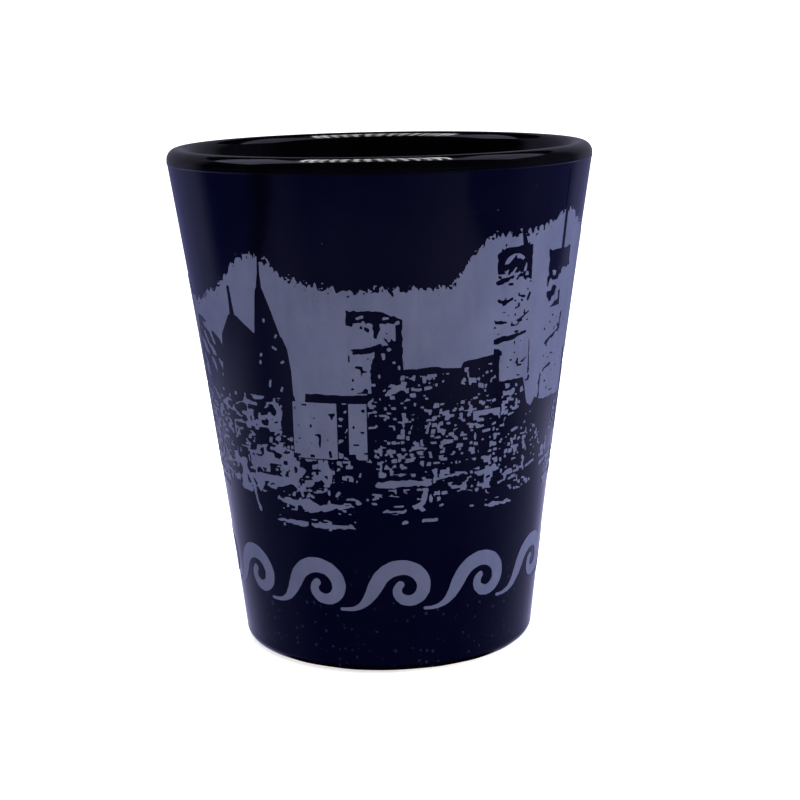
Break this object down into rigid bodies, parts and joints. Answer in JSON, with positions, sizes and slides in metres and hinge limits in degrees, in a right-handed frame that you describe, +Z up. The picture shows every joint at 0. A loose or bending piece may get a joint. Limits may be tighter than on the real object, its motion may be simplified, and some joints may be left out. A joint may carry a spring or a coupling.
{
  "type": "shot glass",
  "caption": "Tapered glazed ceramic shot glass: black inside and lip, dark cobalt outside, with a silver-grey printed city skyline above a frieze of waves",
  "frame": {"origin": "the centre of the foot ring's underside, on the surface that the glass stands on", "axes": "+Z up the cup's axis to the rim; -Y is the front, the middle of the view of the skyline; +X is to the right of someone looking at the front"},
  "size_m": [0.0504, 0.0504, 0.06],
  "materials": {
    "stoneware": "matte",
    "black_glaze": "gloss",
    "cobalt_glaze": "gloss",
    "silver_print": "satin"
  },
  "bodies": {
    "root": {"ceramic_body": "stoneware", "foot_well_glaze": "cobalt_glaze", "liner_glaze": "black_glaze", "outer_glaze": "cobalt_glaze", "print_arcade_front": "silver_print", "print_block_tower_front": "silver_print", "print_corner_tower_front": "silver_print", "print_depot_front": "silver_print", "print_exchange_front": "silver_print", "print_hall_front": "silver_print", "print_market_front": "silver_print", "print_mast_line": "black_glaze", "print_mast_tower_front": "silver_print", "print_mill_front": "silver_print", "print_quay_front": "silver_print", "print_stepped_tower_front": "silver_print", "print_store_front": "silver_print", "print_terrace_front": "silver_print", "sky_print": "silver_print", "water_streak_01": "silver_print", "water_streak_02": "silver_print", "water_streak_03": "silver_print", "water_streak_04": "silver_print", "water_streak_05": "silver_print", "water_streak_06": "silver_print", "water_streak_07": "silver_print", "water_streak_08": "silver_print", "water_streak_09": "silver_print", "water_streak_10": "silver_print", "water_streak_11": "silver_print", "wave_crest_01": "silver_print", "wave_crest_02": "silver_print", "wave_crest_03": "silver_print", "wave_crest_04": "silver_print", "wave_crest_05": "silver_print", "wave_crest_06": "silver_print", "wave_crest_07": "silver_print", "wave_crest_08": "silver_print", "wave_crest_09": "silver_print", "wave_crest_10": "silver_print", "wave_crest_11": "silver_print", "wave_crest_12": "silver_print"}
  },
  "joints": []
}
